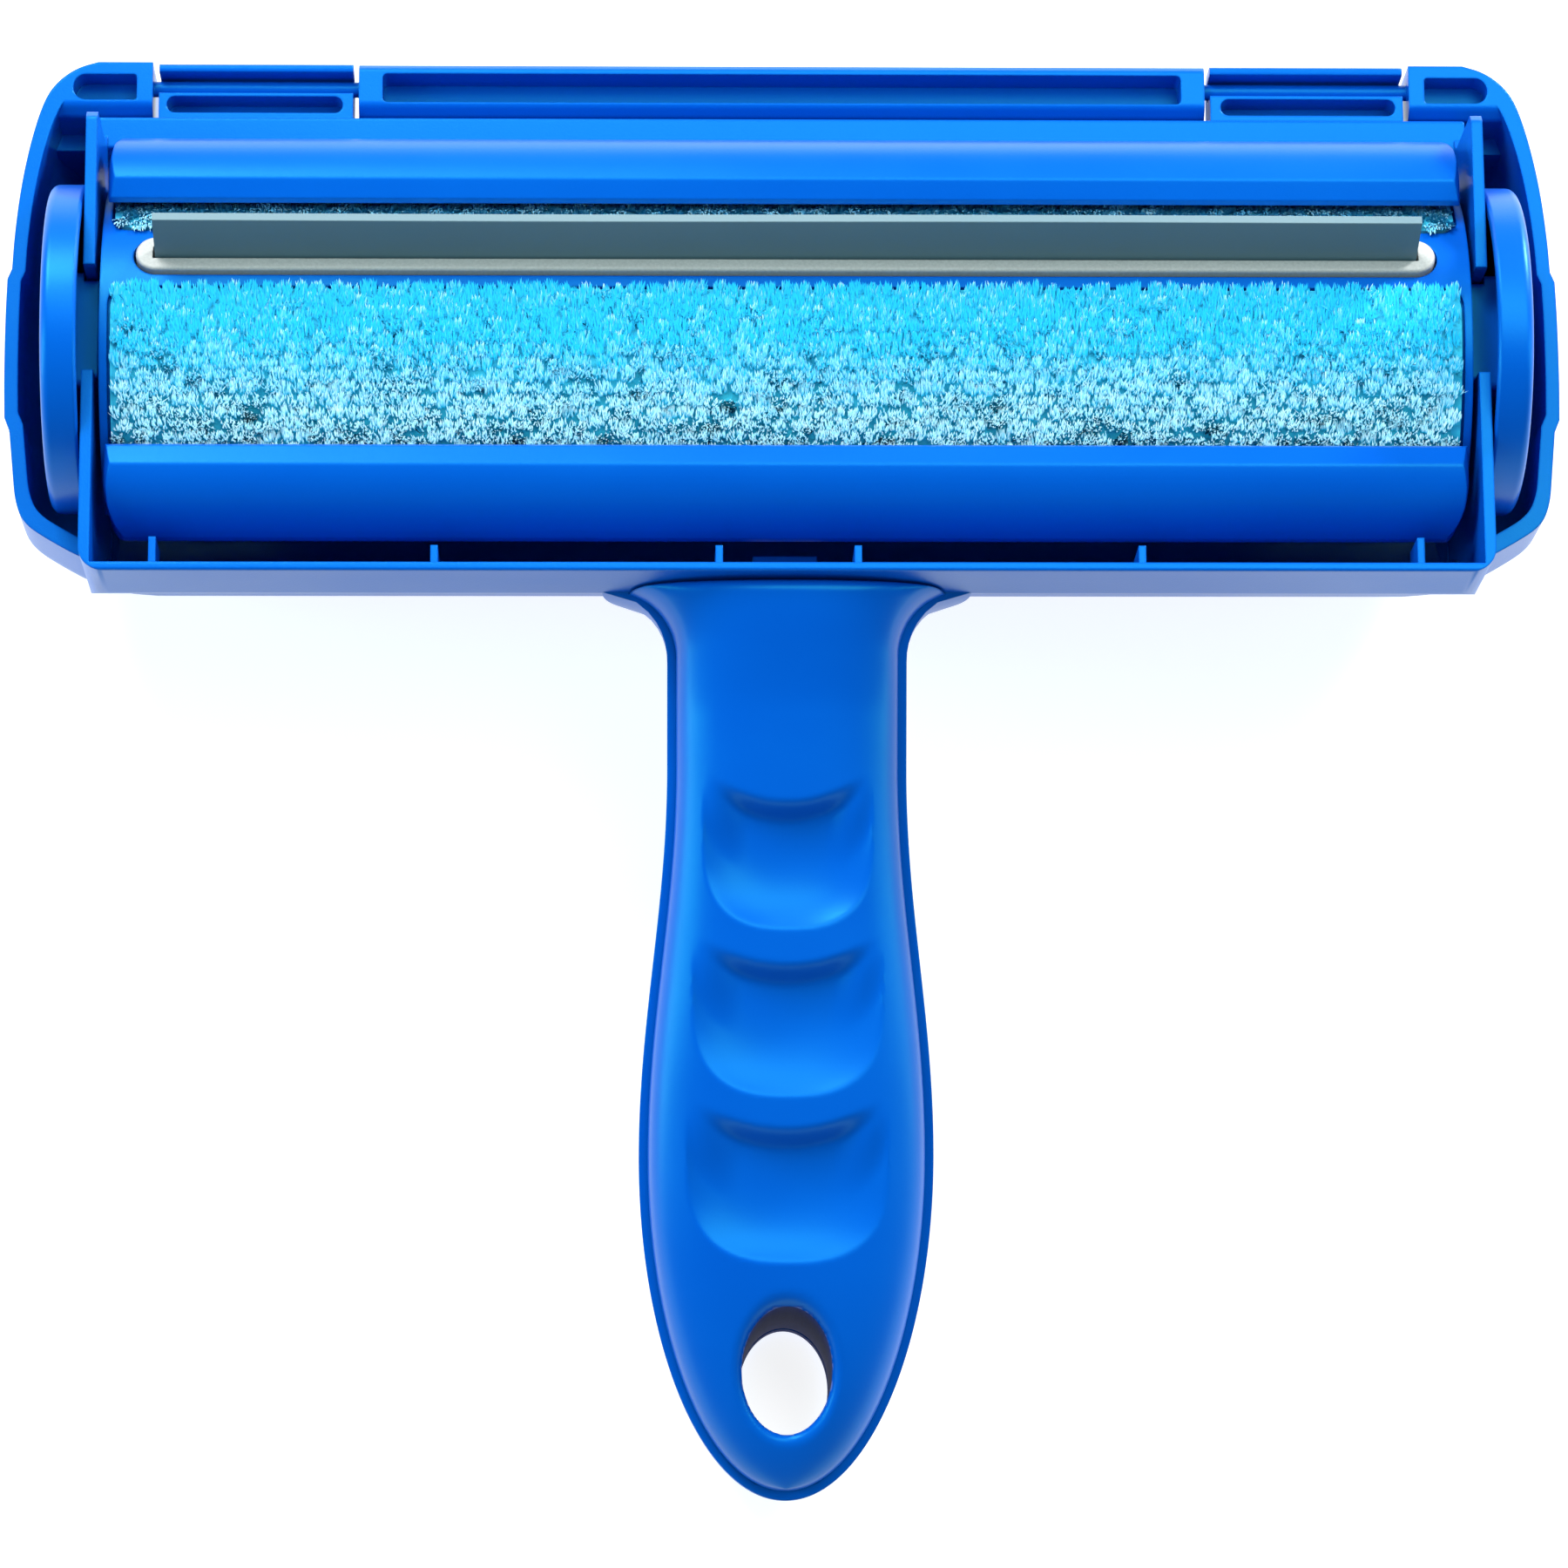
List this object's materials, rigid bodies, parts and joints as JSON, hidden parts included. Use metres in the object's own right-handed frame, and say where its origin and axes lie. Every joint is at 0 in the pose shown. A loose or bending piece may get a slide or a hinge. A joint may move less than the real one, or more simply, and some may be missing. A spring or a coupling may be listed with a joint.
{
  "type": "reusable lint roller",
  "caption": "T-shaped reusable lint roller with a rocking velour drum, a rubber blade, fixed stripper bars, end wheels, a hinged lint-chamber lid and a two-shell handle.",
  "frame": {"origin": "middle of the footprint, on the surface that the roller lies on with its working face up", "axes": "+X along the drum, +Y from the handle's tip to the lid's hinge, +Z out of the working face"},
  "size_m": [0.195, 0.1792, 0.0588],
  "materials": {
    "blue_plastic": "satin moulded polypropylene with a fine spark-eroded grain on edges",
    "grey_plastic": "matt light grey",
    "blade_rubber": "matt slate grey rubber",
    "lint_velour": "directional nap velour in tufted zigzag rows",
    "spring_steel": "plain zinc-plated steel"
  },
  "bodies": {
    "casing": {"frame": "blue_plastic", "handle_front_shell": "blue_plastic", "handle_screw_upper": "spring_steel", "handle_screw_lower": "spring_steel", "stripper_bar_upper": "blue_plastic", "stripper_bar_lower": "blue_plastic", "stripper_pad_upper": "lint_velour", "stripper_pad_lower": "lint_velour", "bearing_cap_left": "blue_plastic", "bearing_cap_right": "blue_plastic", "wheel_clip_left": "blue_plastic", "wheel_clip_right": "blue_plastic"},
    "lid": {"lid": "blue_plastic"},
    "drum": {"drum_shell": "blue_plastic", "drum_end_left": "blue_plastic", "drum_end_right": "blue_plastic", "blade_holder": "grey_plastic", "rubber_blade": "blade_rubber", "lint_pad_upper": "lint_velour", "lint_pad_lower": "lint_velour"},
    "wheel_left": {"end_wheel_left": "blue_plastic"},
    "wheel_right": {"end_wheel_right": "blue_plastic"},
    "button": {"release_button": "blue_plastic", "button_spring": "spring_steel"}
  },
  "joints": [
    {"name": "lid_hinge", "type": "hinge", "parent": "casing", "child": "lid", "pos_m": [0, 0.087, 0.033], "axis": [1, 0, 0], "range_deg": [0, 110]},
    {"name": "drum_rock", "type": "hinge", "parent": "casing", "child": "drum", "pos_m": [0, 0.051, 0.03], "axis": [1, 0, 0], "range_deg": [0, 41.2]},
    {"name": "wheel_left_spin", "type": "hinge", "parent": "casing", "child": "wheel_left", "pos_m": [-0.089, 0.051, 0.038], "axis": [1, 0, 0], "continuous": true},
    {"name": "wheel_right_spin", "type": "hinge", "parent": "casing", "child": "wheel_right", "pos_m": [0.089, 0.051, 0.038], "axis": [1, 0, 0], "continuous": true},
    {"name": "button_press", "type": "slide", "parent": "casing", "child": "button", "axis": [0, -0.279, 0.9603], "range_m": [0, 0.0025], "stiffness_N_per_m": 300, "springref_m": -0.002, "deforming": ["button_spring"]}
  ]
}
